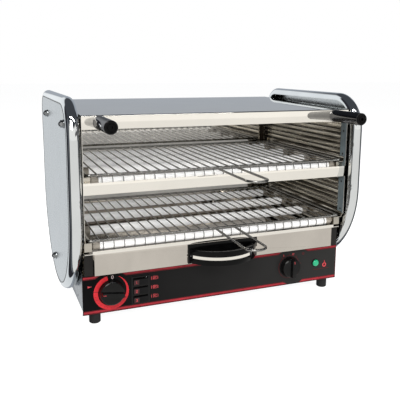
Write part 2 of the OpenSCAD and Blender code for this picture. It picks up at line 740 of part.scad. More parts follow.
module terminal_block() color("ivory") place() difference() {
    block([150, 250, base_lift + sheet + frame_gap], [210, 280, base_lift + 24]);
    for (i = [0 : 3]) translate([159 + i * 14, 265, base_lift + 12]) cylinder(h = 20, r = 3.4);
}

// The gland that the supply lead goes through, at the back of the base
module cable_gland() color("black") place() translate([gland_x, base_d, gland_z])
    rotate([-90, 0, 0]) rotate_extrude()
    polygon([
        [4, -14], [8.8, -14], [8.8, 0], [13, 0], [13, 5], [9.5, 6], [7.5, gland_reach], [4, gland_reach]
    ]);

// Screws that hold the base's sides and the back cover
module case_screws() color("silver") place() {
    for (x = [-250, 0, 250], z = [92, 340])
        translate([x, frame_back + frame_gap + sheet, z]) rotate([-90, 0, 0]) intersection() {
            translate([0, 0, -3.2]) sphere(r = 5.2);
            cylinder(h = 10, r = 4.1);
        }
    for (side = SIDES, y = [60, 290]) mirror([side < 0 ? 1 : 0, 0, 0])
        translate([base_x, y, 18]) rotate([0, 90, 0]) intersection() {
            translate([0, 0, -4.1]) sphere(r = 5.2);
            cylinder(h = 1.6, r = 3.6);
        }
}

base_housing();
bottom_cover();
control_panel();
panel_overlay();
feet();
foot_screws();
cheek_left();
cheek_right();
cheek_rim_left();
cheek_rim_right();
cheek_bolts();
cheek_spacers();
side_wall_left();
side_wall_right();
back_wall();
back_cover();
top_cover();
top_reflector();
middle_strip();
front_sill();
rack_runners();
tray_runners();
tube_brackets();
tubes_top();
tubes_middle();
tubes_lower();
coils_top();
coils_middle();
coils_lower();
tube_caps();
guard_middle();
guard_lower();
upper_rack();
upper_rack_handle();
lower_rack();
lower_rack_handle();
crumb_tray();
tray_handle();
tray_handle_band();
tray_handle_screws();
handle_left();
handle_right();
handle_plugs();
timer_knob();
timer_shaft();
timer_body();
selector_knob();
selector_shaft();
selector_body();
rocker_bezel();
rocker_1();
rocker_2();
rocker_3();
switch_body();
pilot_bezel();
pilot_lens();
pilot_body();
terminal_block();
cable_gland();
case_screws();
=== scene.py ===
"""The look of the two-deck quartz toaster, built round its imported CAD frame.

Everything is in metres in the frame of the CAD model: X across, Y to the back, Z up, with the
floor at z = 0. Places come from the boxes of the CAD nodes.
"""

import math

import bmesh
import bpy
from mathutils import Matrix, Vector


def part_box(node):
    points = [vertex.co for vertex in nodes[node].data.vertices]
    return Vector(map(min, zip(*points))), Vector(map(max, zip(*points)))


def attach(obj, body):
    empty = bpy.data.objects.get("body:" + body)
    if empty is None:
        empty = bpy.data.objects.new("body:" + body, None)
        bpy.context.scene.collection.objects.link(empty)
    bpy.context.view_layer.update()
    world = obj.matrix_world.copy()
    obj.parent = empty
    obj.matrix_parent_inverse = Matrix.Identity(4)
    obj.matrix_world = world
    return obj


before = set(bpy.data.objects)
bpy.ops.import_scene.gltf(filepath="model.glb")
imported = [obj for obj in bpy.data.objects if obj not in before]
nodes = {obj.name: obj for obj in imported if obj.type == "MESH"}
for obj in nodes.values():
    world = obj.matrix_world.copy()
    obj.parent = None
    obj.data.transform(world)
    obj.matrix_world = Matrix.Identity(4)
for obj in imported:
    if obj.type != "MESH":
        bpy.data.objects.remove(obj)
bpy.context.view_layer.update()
scene = bpy.context.scene

MM = 0.001
panel_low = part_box("control_panel")[0]
film_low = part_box("panel_overlay")[0]
FACE_Y = film_low.y            # the front of the control panel's film
EDGE_Z = panel_low.z           # the bottom edge of the control panel
# The beads pressed into the side walls, in mm: the lowest level and the number in each deck
BEADS = ((162.5, 7), (283.5, 6))
BEAD_PITCH = 10.7
BEAD_OUT = 1.8                 # from the wall's inner face to the outermost point of a bead
BEAD_END = 338                 # where the strips beside the beads end, just before the back wall
# The flat front post of a side wall, in mm: its height, its front edge and where its holes are
POST_LOW, POST_HIGH = 153, 352
POST_FRONT, POST_DEPTH = -22, 20
POST_HOLES = (162, 222, 282, 331)
# The middle of the timer's dial and of the selector, in mm on the panel
DIAL_X, DIAL_Z = -225.5, 39.2
SELECTOR_X, SELECTOR_Z = 161.0, 40.5


def place(x, y, z):
    """A point measured in millimetres from the middle of the control panel's bottom edge."""
    return Vector((x * MM, FACE_Y + y * MM, EDGE_Z + z * MM))


# ------------------------------------------------------------------ camera

def make_camera():
    """A camera at the photograph's viewing angle: to the left of the middle and slightly above."""
    yaw, pitch, roll = 0.3803, 0.1642, -0.0073
    data = bpy.data.cameras.new("camera")
    data.sensor_width = 36
    data.lens = 50.48
    data.shift_x, data.shift_y = -0.00675, -0.1
    data.clip_start, data.clip_end = 0.01, 100
    data.dof.use_dof = False
    camera = bpy.data.objects.new("camera", data)
    scene.collection.objects.link(camera)
    right = Vector((math.cos(yaw), -math.sin(yaw), 0))
    ahead = Vector((math.sin(yaw) * math.cos(pitch), math.cos(yaw) * math.cos(pitch), -math.sin(pitch)))
    down = ahead.cross(right)
    across = right * math.cos(roll) + down * math.sin(roll)
    below = down * math.cos(roll) - right * math.sin(roll)
    turn = Matrix((across, -below, -ahead)).transposed().to_4x4()
    camera.matrix_world = Matrix.Translation(place(-440.8, -1000.4, 462.3)) @ turn
    scene.camera = camera


# ------------------------------------------------------------------ shader helpers

class Shader:
    """A new material whose Principled shader is fed by nodes that this class adds."""

    def __init__(self, name, colour, roughness, metallic=0.0, **sockets):
        self.material = bpy.data.materials.new(name)
        self.material.use_nodes = True
        self.tree = self.material.node_tree
        self.shader = self.tree.nodes["Principled BSDF"]
        self.shader.inputs["Base Color"].default_value = (*colour, 1)
        self.shader.inputs["Roughness"].default_value = roughness
        self.shader.inputs["Metallic"].default_value = metallic
        for socket, value in sockets.items():
            self.shader.inputs[socket.replace("_", " ")].default_value = value
        self.bump = None
        self.where = None

    def node(self, kind, **settings):
        made = self.tree.nodes.new(kind)
        for key, value in settings.items():
            setattr(made, key, value)
        return made

    def link(self, a, b):
        self.tree.links.new(a, b)

    def position(self, stretch=(1, 1, 1)):
        """The point on the object, stretched along the axes."""
        if self.where is None:
            self.where = self.node("ShaderNodeTexCoord").outputs["Object"]
        scaled = self.node("ShaderNodeMapping")
        scaled.inputs["Scale"].default_value = stretch
        self.link(self.where, scaled.inputs["Vector"])
        return scaled.outputs["Vector"]

    def noise(self, scale, detail=3.0, stretch=(1, 1, 1), roughness=0.5, distortion=0.0):
        made = self.node("ShaderNodeTexNoise")
        made.inputs["Scale"].default_value = scale
        made.inputs["Detail"].default_value = detail
        made.inputs["Roughness"].default_value = roughness
        made.inputs["Distortion"].default_value = distortion
        self.link(self.position(stretch), made.inputs["Vector"])
        return made.outputs["Fac"]

    def ramp(self, value, low, high, low_at=0.3, high_at=0.7):
        """Maps a value onto the range from low to high, which may be numbers or colours."""
        if isinstance(low, (int, float)):
            made = self.node("ShaderNodeMapRange")
            made.inputs["From Min"].default_value = low_at
            made.inputs["From Max"].default_value = high_at
            made.inputs["To Min"].default_value = low
            made.inputs["To Max"].default_value = high
            self.link(value, made.inputs["Value"])
            return made.outputs["Result"]
        made = self.node("ShaderNodeValToRGB")
        made.color_ramp.elements[0].position = low_at
        made.color_ramp.elements[0].color = (*low, 1)
        made.color_ramp.elements[1].position = high_at
        made.color_ramp.elements[1].color = (*high, 1)
        self.link(value, made.inputs["Fac"])
        return made.outputs["Color"]

    def colour(self, output):
        self.link(output, self.shader.inputs["Base Color"])

    def rough(self, output):
        self.link(output, self.shader.inputs["Roughness"])

    def raise_by(self, height, strength, distance):
        """Adds a layer of bump, on top of the ones already there."""
        made = self.node("ShaderNodeBump")
        made.inputs["Strength"].default_value = strength
        made.inputs["Distance"].default_value = distance
        self.link(height, made.inputs["Height"])
        if self.bump is not None:
            self.link(self.bump, made.inputs["Normal"])
        self.bump = made.outputs["Normal"]
        self.link(self.bump, self.shader.inputs["Normal"])


def steel(name, colour, roughness, wave, grain=0.03, grain_stretch=(4, 4, 300), stain=0.06,
          spread=0.3):
    """Polished or satin stainless sheet: slight waviness, drawn grain, smears and faint stains."""
    s = Shader(name, colour, roughness, metallic=1.0)
    dark = tuple(c * (1 - stain) for c in colour)
    s.colour(s.ramp(s.noise(9, 4, distortion=0.6), dark, colour, 0.35, 0.65))
    s.rough(s.ramp(s.noise(22, 5, roughness=0.65), roughness * (1 - spread), roughness * (1 + spread)))
    s.raise_by(s.noise(7, 1), wave, 0.002)
    s.raise_by(s.noise(1, 2, grain_stretch), grain, 0.0004)
    return s.material


def chrome(name, colour, roughness, pit=0.08):
    """Plated wire or tube: smooth with a faint unevenness and duller spots."""
    s = Shader(name, colour, roughness, metallic=1.0)
    s.colour(s.ramp(s.noise(60, 4), tuple(c * 0.82 for c in colour), colour, 0.3, 0.6))
    s.rough(s.ramp(s.noise(140, 3), roughness * 0.7, roughness * 1.5))
    s.raise_by(s.noise(300, 2), pit, 0.0002)
    return s.material


def plastic(name, colour, roughness, texture=0.1, texture_scale=1500, coat=0.0, shine=0.3):
    """Moulded plastic: fine spark-eroded texture, slightly lighter and duller in patches."""
    s = Shader(name, colour, roughness, Coat_Weight=coat, Coat_Roughness=0.08, Specular_IOR_Level=shine)
    lighter = tuple(min(1, c * 1.35 + 0.001) for c in colour)
    s.colour(s.ramp(s.noise(45, 4), colour, lighter, 0.4, 0.75))
    s.rough(s.ramp(s.noise(120, 4), roughness * 0.85, roughness * 1.2))
    s.raise_by(s.noise(texture_scale, 2), texture, 0.0002)
    return s.material


def make_materials():
    """One material for each kind of surface. The colours are linear."""
    return {
        "polished": steel("polished_steel", (0.93, 0.90, 0.84), 0.05, wave=0.05, grain=0.02,
                          grain_stretch=(6, 6, 700), stain=0.04),
        "tray": steel("tray_steel", (0.62, 0.58, 0.53), 0.06, wave=0.05, grain=0.02,
                      grain_stretch=(6, 6, 700), stain=0.10),
        "cheek": steel("cheek_steel", (0.62, 0.65, 0.67), 0.27, wave=0.01, grain=0.04,
                       grain_stretch=(6, 6, 500), stain=0.03, spread=0.06),
        "rim": steel("rim_steel", (0.79, 0.815, 0.83), 0.06, wave=0.05, grain=0.01, stain=0.08),
        "inner": steel("inner_steel", (0.86, 0.84, 0.80), 0.035, wave=0.04, grain=0.02,
                       grain_stretch=(3, 3, 400), stain=0.15),
        "side": ribbed("side_steel"),
        "bracket": steel("bracket_steel", (0.66, 0.62, 0.55), 0.14, wave=0.1, stain=0.3),
        # Painted reflection: a dull blue-grey face in place of the posts' reflecting steel
        "post": plastic("post_face_painted_reflection", (0.125, 0.155, 0.170), 0.40, texture=0.3, texture_scale=500),
        "case": steel("case_steel", (0.40, 0.41, 0.42), 0.26, wave=0.02, grain=0.08,
                      grain_stretch=(2, 2, 500), stain=0.04, spread=0.1),
        "wire": chrome("rack_chrome", (0.27, 0.265, 0.255), 0.10),
        "bolt": chrome("bolt_chrome", (0.36, 0.37, 0.38), 0.10),
        "tube": chrome("handle_chrome", (0.16, 0.16, 0.165), 0.09, pit=0.03),
        "panel": plastic("panel_black", (0.010, 0.010, 0.011), 0.35),
        "film": film("panel_film"),
        "print_red": plastic("print_red", (0.31, 0.020, 0.030), 0.40, texture=0.05, shine=0.2),
        "print_bright": plastic("print_bright_red", (0.54, 0.020, 0.030), 0.38, texture=0.05,
                                shine=0.25),
        "print_dim": plastic("print_dim_red", (0.10, 0.005, 0.009), 0.42, texture=0.05, shine=0.2),
        "print_pale": plastic("print_pale", (0.52, 0.42, 0.42), 0.45, texture=0.05),
        "print_rose": plastic("print_rose", (0.50, 0.055, 0.065), 0.45, texture=0.05),
        "print_black": plastic("print_black", (0.004, 0.004, 0.004), 0.45, texture=0.05),
        "black": plastic("gloss_black", (0.0015, 0.0015, 0.0016), 0.14, texture=0.02, shine=0.12),
        "knob": plastic("knob_black", (0.003, 0.003, 0.0032), 0.22, texture=0.05, shine=0.22),
        "rocker": plastic("rocker_black", (0.003, 0.003, 0.0034), 0.20, texture=0.04, shine=0.15),
        "rubber": plastic("foot_rubber", (0.008, 0.008, 0.009), 0.55, texture=0.3, texture_scale=700),
        "quartz": quartz("opal_quartz"),
        "ceramic": plastic("steatite", (0.34, 0.31, 0.27), 0.6, texture=0.3, texture_scale=600),
        "coil": chrome("coil_wire", (0.30, 0.24, 0.20), 0.45),
        "lens": plastic("green_lens", (0.0, 0.36, 0.17), 0.10, texture=0.03, coat=1.0),
        # Painted highlight on the pilot lens
        "lens_painted_highlight": plastic("lens_painted_highlight", (0.75, 0.95, 0.85), 0.2, texture=0.02),
        "phenolic": plastic("phenolic", (0.05, 0.045, 0.04), 0.55, texture=0.2),
        "corner": plastic("corner_brown", (0.020, 0.012, 0.006), 0.35, texture=0.1),
        # Painted shade: near black for the cheek creases and the tray runners
        "shade": plastic("painted_shade_steel", (0.006, 0.005, 0.0045), 0.30, texture=0.1),
        "post_edge": chrome("post_edge", (0.62, 0.60, 0.56), 0.30),
        # Painted highlights along the beads of the side walls
        "glint": chrome("rib_glint", (0.95, 0.90, 0.80), 0.42),
        # Painted shadow under the beads of the side walls
        "bead_painted_shadow": plastic("rib_painted_shadow", (0.018, 0.014, 0.010), 0.45, texture=0.2),
        # Painted shade in the holes of the posts
        "socket": plastic("hole_painted_shade", (0.004, 0.004, 0.005), 0.6, texture=0.1),
        "weld": chrome("weld_bead", (0.42, 0.40, 0.38), 0.28, pit=0.3),
        "print_window": plastic("print_window", (0.035, 0.004, 0.006), 0.3, texture=0.03, coat=0.3),
    }


def film(name):
    """The panel's printed film: satin black with an orange-peel texture, darker and less glossy towards its
    left end: painted shade.
    """
    s = Shader(name, (0.010, 0.010, 0.010), 0.42)
    parts = s.node("ShaderNodeSeparateXYZ")
    s.link(s.position(), parts.inputs[0])
    # The distance across the panel in metres, made a little cloudy
    across = s.node("ShaderNodeMath", operation="MULTIPLY_ADD")
    s.link(s.noise(14, 4), across.inputs[0])
    across.inputs[1].default_value = 0.12
    s.link(parts.outputs["X"], across.inputs[2])
    # Painted shade: the film's colour and gloss fall off towards its left end
    deep, pale = (0.0025, 0.0025, 0.003), (0.016, 0.0155, 0.0155)
    s.colour(s.ramp(s.ramp(across.outputs[0], 0.0, 1.0, -0.24, 0.36), deep, pale, 0.0, 1.0))
    s.link(s.ramp(across.outputs[0], 0.04, 0.26, -0.24, 0.30), s.shader.inputs["Specular IOR Level"])
    s.rough(s.ramp(s.noise(40, 3), 0.38, 0.48))
    s.raise_by(s.noise(1400, 2), 0.08, 0.0002)
    return s.material


def ribbed(name):
    """The side walls: bright sheet whose beads pull reflections out along them, darker low down."""
    s = Shader(name, (0.74, 0.69, 0.60), 0.08, metallic=1.0)
    parts = s.node("ShaderNodeSeparateXYZ")
    s.link(s.position(), parts.inputs[0])
    # Noise that grows with the height
    height_cloud = s.node("ShaderNodeMath", operation="MULTIPLY_ADD")
    s.link(parts.outputs["Z"], height_cloud.inputs[0])
    height_cloud.inputs[1].default_value = 0.7
    s.link(s.noise(6, 4, (1, 0.5, 14), distortion=0.4), height_cloud.inputs[2])
    # Darker towards the bottom of the wall
    s.colour(s.ramp(height_cloud.outputs[0], (0.09, 0.075, 0.05), (0.80, 0.75, 0.65), 0.62, 0.84))
    s.rough(s.ramp(s.noise(22, 5, roughness=0.65), 0.05, 0.12))
    ribs = s.node("ShaderNodeTexWave", wave_profile="SIN", bands_direction="Z")
    ribs.inputs["Scale"].default_value = math.pi * 2 / 20 / (BEAD_PITCH * MM)
    s.link(s.position(), ribs.inputs["Vector"])
    s.raise_by(ribs.outputs["Fac"], 0.55, 0.004)
    s.raise_by(s.noise(1, 3, (2, 2.5, 260)), 0.25, 0.001)
    return s.material


def quartz(name):
    """Frosted quartz: milky white with faint flow marks. A little light of its own stands in for the
    light that it passes on inside."""
    s = Shader(name, (0.93, 0.93, 0.94), 0.18, Coat_Weight=0.4, Coat_Roughness=0.1)
    s.colour(s.ramp(s.noise(30, 4, (0.4, 1, 1)), (0.84, 0.85, 0.87), (0.97, 0.97, 0.97), 0.35, 0.6))
    s.raise_by(s.noise(260, 3, (0.4, 1, 1)), 0.12, 0.0005)
    s.shader.inputs["Emission Color"].default_value = (1, 1, 1, 1)
    s.shader.inputs["Emission Strength"].default_value = 0.22
    return s.material


NODE_LOOK = {
    "polished": ["top_cover", "middle_strip", "front_sill", "tray_handle_band"],
    "tray": ["crumb_tray"],
    "cheek": ["cheek_left", "cheek_right"],
    "rim": ["cheek_rim_left", "cheek_rim_right"],
    "side": ["side_wall_left", "side_wall_right"],
    "inner": ["back_wall", "top_reflector"],
    "bracket": ["tube_brackets", "rack_runners"],
    # Painted shade: the tray runners are near black for the shade they sit in
    "shade": ["tray_runners"],
    "case": ["base_housing", "bottom_cover", "back_cover"],
    "wire": ["upper_rack", "lower_rack", "upper_rack_handle", "lower_rack_handle", "guard_middle",
             "guard_lower"],
    "bolt": ["cheek_bolts", "foot_screws", "tray_handle_screws", "case_screws", "timer_shaft",
             "selector_shaft"],
    "tube": ["handle_left", "handle_right"],
    "panel": ["control_panel"],
    "film": ["panel_overlay"],
    "black": ["tray_handle", "handle_plugs", "cheek_spacers"],
    "rocker": ["rocker_1", "rocker_2", "rocker_3"],
    "knob": ["timer_knob", "selector_knob", "rocker_bezel", "pilot_bezel"],
    "rubber": ["feet", "cable_gland"],
    "quartz": ["tubes_top", "tubes_middle", "tubes_lower"],
    "ceramic": ["tube_caps", "terminal_block"],
    "coil": ["coils_top", "coils_middle", "coils_lower"],
    "lens": ["pilot_lens"],
    "phenolic": ["timer_body", "selector_body", "switch_body", "pilot_body"],
}
# Nodes whose edges are rounded, with the radius in metres
ROUNDED = {
    "tray_handle": 0.0012, "timer_knob": 0.0006, "selector_knob": 0.0006, "rocker_bezel": 0.0004,
    "rocker_1": 0.0003, "rocker_2": 0.0003, "rocker_3": 0.0003, "control_panel": 0.0003,
    "middle_strip": 0.0004, "crumb_tray": 0.0004, "front_sill": 0.0004, "base_housing": 0.0005,
    "handle_plugs": 0.0003, "handle_left": 0.0003, "handle_right": 0.0003,
}


def dress_nodes(look):
    """Gives every CAD node its material, smooth round faces and, where it is moulded or folded, soft
    edges."""
    for key, names in NODE_LOOK.items():
        for name in names:
            node = nodes[name]
            mesh = node.data
            mesh.materials.clear()
            mesh.materials.append(look[key])
            for face in mesh.polygons:
                face.material_index = 0
            mesh.shade_smooth()
            weld = node.modifiers.new("weld", "WELD")
            weld.merge_threshold = 0.00001
            if name in ROUNDED:
                bevel = node.modifiers.new("soft_edges", "BEVEL")
                bevel.width = ROUNDED[name]
                bevel.segments = 2
                bevel.limit_method = "ANGLE"
                bevel.angle_limit = math.radians(40)
                bevel.use_clamp_overlap = True
            split = node.modifiers.new("crisp_edges", "EDGE_SPLIT")
            split.split_angle = math.radians(38)


# ------------------------------------------------------------------ pieces

def make_piece(name, points, faces, material, body="frame", slot=None, smooth=False):
    """A new visible piece from points in metres, riding on a body."""
    mesh = bpy.data.meshes.new(name)
    mesh.from_pydata([tuple(p) for p in points], [], faces)
    mesh.validate()
    mesh.materials.append(material)
    if smooth:
        mesh.shade_smooth()
    piece = bpy.data.objects.new(name, mesh)
    scene.collection.objects.link(piece)
    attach(piece, body)
    return piece


class Print:
    """Flat marks on the panel: outlines in millimetres (x, z), made into plates a hair thick."""

    def __init__(self, lift=0.06, thick=0.05, surface=None):
        self.points, self.faces = [], []
        self.lift, self.thick = lift, thick
        self.surface = surface or (lambda x, z: place(x, 0, z))

    def outline(self, loop):
        """One convex or gently curved outline, listed counter-clockwise as seen from the front."""
        start, count = len(self.points), len(loop)
        for out in (self.lift + self.thick, self.lift):
            for x, z in loop:
                self.points.append(self.surface(x, z) - Vector((0, out * MM, 0)))
        self.faces.append(tuple(range(start, start + count)))
        self.faces.append(tuple(reversed(range(start + count, start + 2 * count))))
        for i in range(count):
            j = (i + 1) % count
            self.faces.append((start + i, start + count + i, start + count + j, start + j))

    def bar(self, left, right, low, high, slant_left=0.0, slant_right=0.0):
        """A stripe. A slant moves the top corner outwards from the bottom one."""
        self.outline([(left, low), (right, low), (right + slant_right, high), (left - slant_left, high)])

    def stroke(self, path, width, closed=False):
        """A line of even width along a path, in short four-cornered plates."""
        pts = [Vector(p) for p in path]
        if closed:
            pts.append(pts[0])
        sides = []
        for i, p in enumerate(pts):
            before = pts[i] - pts[i - 1] if i else (pts[-1] - pts[-2] if closed else pts[1] - pts[0])
            after = pts[i + 1] - pts[i] if i < len(pts) - 1 else (pts[1] - pts[0] if closed else before)
            along = (before.normalized() + after.normalized()).normalized()
            side = Vector((-along.y, along.x)) * (width / 2)
            sides.append((p - side, p + side))
        self.band([low for low, high in sides], [high for low, high in sides])

    def band(self, low, high):
        """A solid strip between two lines with the same number of points."""
        start, count = len(self.points), len(low)
        for out in (self.lift + self.thick, self.lift):
            for line in (low, high):
                for x, z in line:
                    self.points.append(self.surface(x, z) - Vector((0, out * MM, 0)))
        front_low, front_high = start, start + count
        back_low, back_high = start + 2 * count, start + 3 * count
        for i in range(count - 1):
            self.faces.append((front_low + i, front_low + i + 1, front_high + i + 1, front_high + i))
            self.faces.append((back_low + i + 1, back_low + i, back_high + i, back_high + i + 1))
            self.faces.append((front_low + i + 1, front_low + i, back_low + i, back_low + i + 1))
            self.faces.append((front_high + i, front_high + i + 1, back_high + i + 1, back_high + i))
        for end in (0, count - 1):
            self.faces.append((front_low + end, front_high + end, back_high + end, back_low + end))

    def finish(self, name, material, body="frame", slot="panel_film"):
        return make_piece(name, self.points, self.faces, material, body, slot)


def polar(cx, cz, r, angle):
    """One point on a circle, by its angle in degrees counter-clockwise from the right."""
    return cx + r * math.cos(math.radians(angle)), cz + r * math.sin(math.radians(angle))


def arc(cx, cz, r, start, end, count):
    """Points on a circle from one angle to another."""
    return [polar(cx, cz, r, start + (end - start) * i / count) for i in range(count + 1)]


# The digits' strokes, in parts of their height
DIGITS = {
    "0": [[(x * 0.5, z) for x, z in arc(0.5, 0.5, 0.5, 0, 350, 18)]],
    "1": [[(0.05, 0.78), (0.28, 1.0), (0.28, 0.0)]],
    "2": [[(0.02, 0.78), (0.12, 0.95), (0.3, 1.0), (0.46, 0.9), (0.5, 0.72), (0.4, 0.5), (0.0, 0.0),
           (0.52, 0.0)]],
    "3": [[(0.02, 0.88), (0.22, 1.0), (0.44, 0.9), (0.46, 0.7), (0.36, 0.56), (0.18, 0.53)],
          [(0.18, 0.53), (0.42, 0.48), (0.5, 0.28), (0.4, 0.06), (0.2, 0.0), (0.0, 0.1)]],
}


def digit(sheet, sign, x, z, height, width):
    """Draws a digit with its middle at (x, z)."""
    for path in DIGITS[sign]:
        sheet.stroke([(x + (px - 0.26) * height, z + (pz - 0.5) * height) for px, pz in path], width,
                     closed=sign == "0")


def print_panel(look):
    """The red stripes, the timer's crescent and scale, the selector's marks and the small symbols."""
    dim = Print(lift=0.04, thick=0.03)
    red = Print(lift=0.08, thick=0.03)
    # Stripes: left end, right end, and how far each end leans at the top
    for left, right, lean_left, lean_right in ((-279, -256, 0, 11), (-197, 134, 9, 9), (208, 279, 13, 0)):
        dim.bar(left, right, 69.3, 75.6, lean_left, lean_right)
        red.bar(left + 0.6, right - 1, 71.6, 74.4, lean_left * 0.75, lean_right * 0.75)
    for left, right, lean_left, lean_right in ((-279, 157, 0, -11), (187, 279, -8, 0)):
        dim.bar(left, right, 0.8, 8.0, lean_left, lean_right)
        red.bar(left + 0.6, right - 1, 3.0, 6.4, lean_left * 0.75, lean_right * 0.75)
    dim.bar(278.2, 279.4, 1.0, 76.6)
    # The timer's crescent thins slowly, then runs out to a hair
    outer, steps, first, last = 34.0, 72, 103, 425
    widest, loss, slow = 9.2, 2.6, 0.62
    rim, inside = [], []
    for i in range(steps + 1):
        t = i / steps
        if t < slow:
            width = widest - loss * t
        else:
            width = (widest - loss * slow) * (1 - (t - slow) / (1 - slow)) ** 0.9 + 0.5
        angle = first + (last - first) * t
        rim.append(polar(DIAL_X, DIAL_Z, outer, angle))
        inside.append(polar(DIAL_X, DIAL_Z, outer - width, angle))
    ring = Print(lift=0.10, thick=0.03)
    ring.band(rim, inside)
    ring.finish("dial_crescent", look["print_bright"])
    black = Print(lift=0.12, thick=0.03)
    for angle in (171, -25):
        black.stroke([polar(DIAL_X, DIAL_Z, r, angle) for r in (23.5, 36)], 0.9)
    for k in range(12):
        angle = 190 + k * 13
        black.stroke([polar(DIAL_X, DIAL_Z, r, angle) for r in (29.5, 31.5)], 0.5)
    black.bar(-187.2, -186.2, 7, 66)
    pale = Print(lift=0.08, thick=0.03)
    digit(pale, "0", DIAL_X + 2.6, DIAL_Z + 30.2, 6.6, 1.1)
    mark = Print(lift=0.08, thick=0.03)
    mark.outline([(-270, 53.4), (-262, 55.4), (-270, 57.4)])
    # Heat symbols: three rising waves between brackets
    heat_x = -140
    for z in (57, 38.5, 20):
        for dx in (-2.6, 0, 2.6):
            wave = [(heat_x + dx + 0.7 * math.sin(k * 1.1), z - 3.6 + k * 0.8) for k in range(10)]
            mark.stroke(wave, 1.0)
        for side in (-1, 1):
            bracket = [(heat_x + side * (5.4 + 1.2 * math.cos(k * 0.5 - 1)), z - 3.4 + k * 1.6)
                       for k in range(5)]
            mark.stroke(bracket, 0.9)
    # The selector's ring, its marks and the signs of its positions
    dim.stroke(arc(SELECTOR_X, SELECTOR_Z, 25.2, 0, 355, 60), 0.7, closed=True)
    for angle in (130, 90, 50, 10, -30):
        dim.stroke([polar(SELECTOR_X, SELECTOR_Z, r, angle) for r in (26.5, 29.5)], 0.8)
    mark.stroke([(147, 64), (147, 69)], 1.1)
    mark.stroke(arc(170, 67.5, 1.9, 0, 340, 14), 0.9, closed=True)
    dim.stroke(arc(195, 66, 2.2, 0, 340, 14), 0.9, closed=True)
    # A small heating symbol beside the lamp, and a thin line under both
    mark.stroke([(250, 43.5), (250, 38)], 1.3)
    mark.stroke(arc(250, 34, 3.9, 0, 340, 16), 2.2, closed=True)
    dim.outline([(245.2, 29.2), (254.8, 29.2), (250.8, 44.8), (249.2, 44.8)])
    dim.stroke([(222, 25.6), (262, 25.6)], 0.7)
    dim.finish("panel_print_dark", look["print_dim"])
    red.finish("panel_print_red", look["print_red"])
    mark.finish("panel_print_symbols", look["print_rose"])
    black.finish("dial_ticks", look["print_black"])
    pale.finish("dial_zero", look["print_pale"])


def mark_rockers(look):
    """A dark window with a number at the left of each rocker, laid on its hollow face."""
    lean = math.radians(7)         # a rocker's tilt at rest
    pivot_y = 4.0                  # its pins, behind the panel's face
    reach, hollow, half = 6.2, 1.4, 5.9    # pins to face, depth of the hollow, half its height
    for i, body in enumerate(("rocker_top", "rocker_middle", "rocker_bottom")):
        low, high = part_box(f"rocker_{i + 1}")
        middle_x = (low.x + high.x) / 2 * 1000
        middle_z = ((low.z + high.z) / 2 - EDGE_Z) * 1000

        def face(x, z, middle=middle_z):
            """A point of the rocker's hollow face, leaning about its pins."""
            up = z - middle
            out = -reach - hollow * min(abs(up), half) / half
            return place(x, pivot_y + out * math.cos(lean) - up * math.sin(lean),
                         middle + out * math.sin(lean) + up * math.cos(lean))

        window = Print(lift=0.05, thick=0.05, surface=face)
        columns = [middle_x - 13 + k * 2.5 for k in range(5)]
        for low_z, high_z in ((middle_z - 5.0, middle_z), (middle_z, middle_z + 5.0)):
            window.band([(x, low_z) for x in columns], [(x, high_z) for x in columns])
        window.finish(f"rocker_{i + 1}_window", look["print_window"], body, "black_plastic")
        number = Print(lift=0.16, thick=0.05, surface=face)
        digit(number, str(i + 1), middle_x - 8.2, middle_z, 5.4, 1.1)
        number.finish(f"rocker_{i + 1}_number", look["print_rose"], body, "black_plastic")


def line_knobs(look):
    """A fine pale pointer line on each knob's grip, at its pointing end."""
    for name, body, angle in (("timer_knob", "timer_dial", 172), ("selector_knob", "selector_dial", 90)):
        low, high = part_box(name)
        cx, cz = (low.x + high.x) / 2 * 1000, ((low.z + high.z) / 2 - EDGE_Z) * 1000
        depth = (low.y - FACE_Y) * 1000
        radius = (high.x - low.x) / 2 * 1000
        line = Print(lift=0.05, thick=0.12, surface=lambda x, z, d=depth: place(x, d, z))
        line.stroke([polar(cx, cz, r, angle) for r in (radius - 10, radius - 4.4)], 0.9)
        line.finish(f"{name}_line", look["print_rose"], body, "knob_plastic")


def box_mesh(low, high):
    """The corners and faces of a box."""
    points = [Vector((x, y, z)) for z in (low.z, high.z) for y in (low.y, high.y) for x in (low.x, high.x)]
    faces = [(0, 2, 3, 1), (4, 5, 7, 6), (0, 1, 5, 4), (2, 6, 7, 3), (0, 4, 6, 2), (1, 3, 7, 5)]
    return points, faces


def along_beads(x, above, to):
    """Thin strips from the post to the back wall, each between two heights measured from a bead."""
    points, faces = [], []
    for first, count in BEADS:
        for i in range(count):
            z = first + i * BEAD_PITCH
            more, shape = box_mesh(place(x[0], 0, z + above), place(x[1], BEAD_END, z + to))
            faces += [tuple(len(points) + k for k in f) for f in shape]
            points += more
    return points, faces


def hole_discs(x_front, x_back):
    """A thin dark disc over each hole of a post: painted shade in the hole."""
    points, faces = [], []
    corners, radius = 24, 2.3
    for z in POST_HOLES:
        start = len(points)
        for x in (x_front, x_back):
            for py, pz in arc(POST_FRONT + POST_DEPTH / 2, z, radius, 0, 345, corners - 1):
                points.append(place(x, py, pz))
        faces.append(tuple(start + i for i in range(corners)))
        faces.append(tuple(start + corners + i for i in reversed(range(corners))))
        for i in range(corners):
            j = (i + 1) % corners
            faces.append((start + i, start + corners + i, start + corners + j, start + j))
    return points, faces


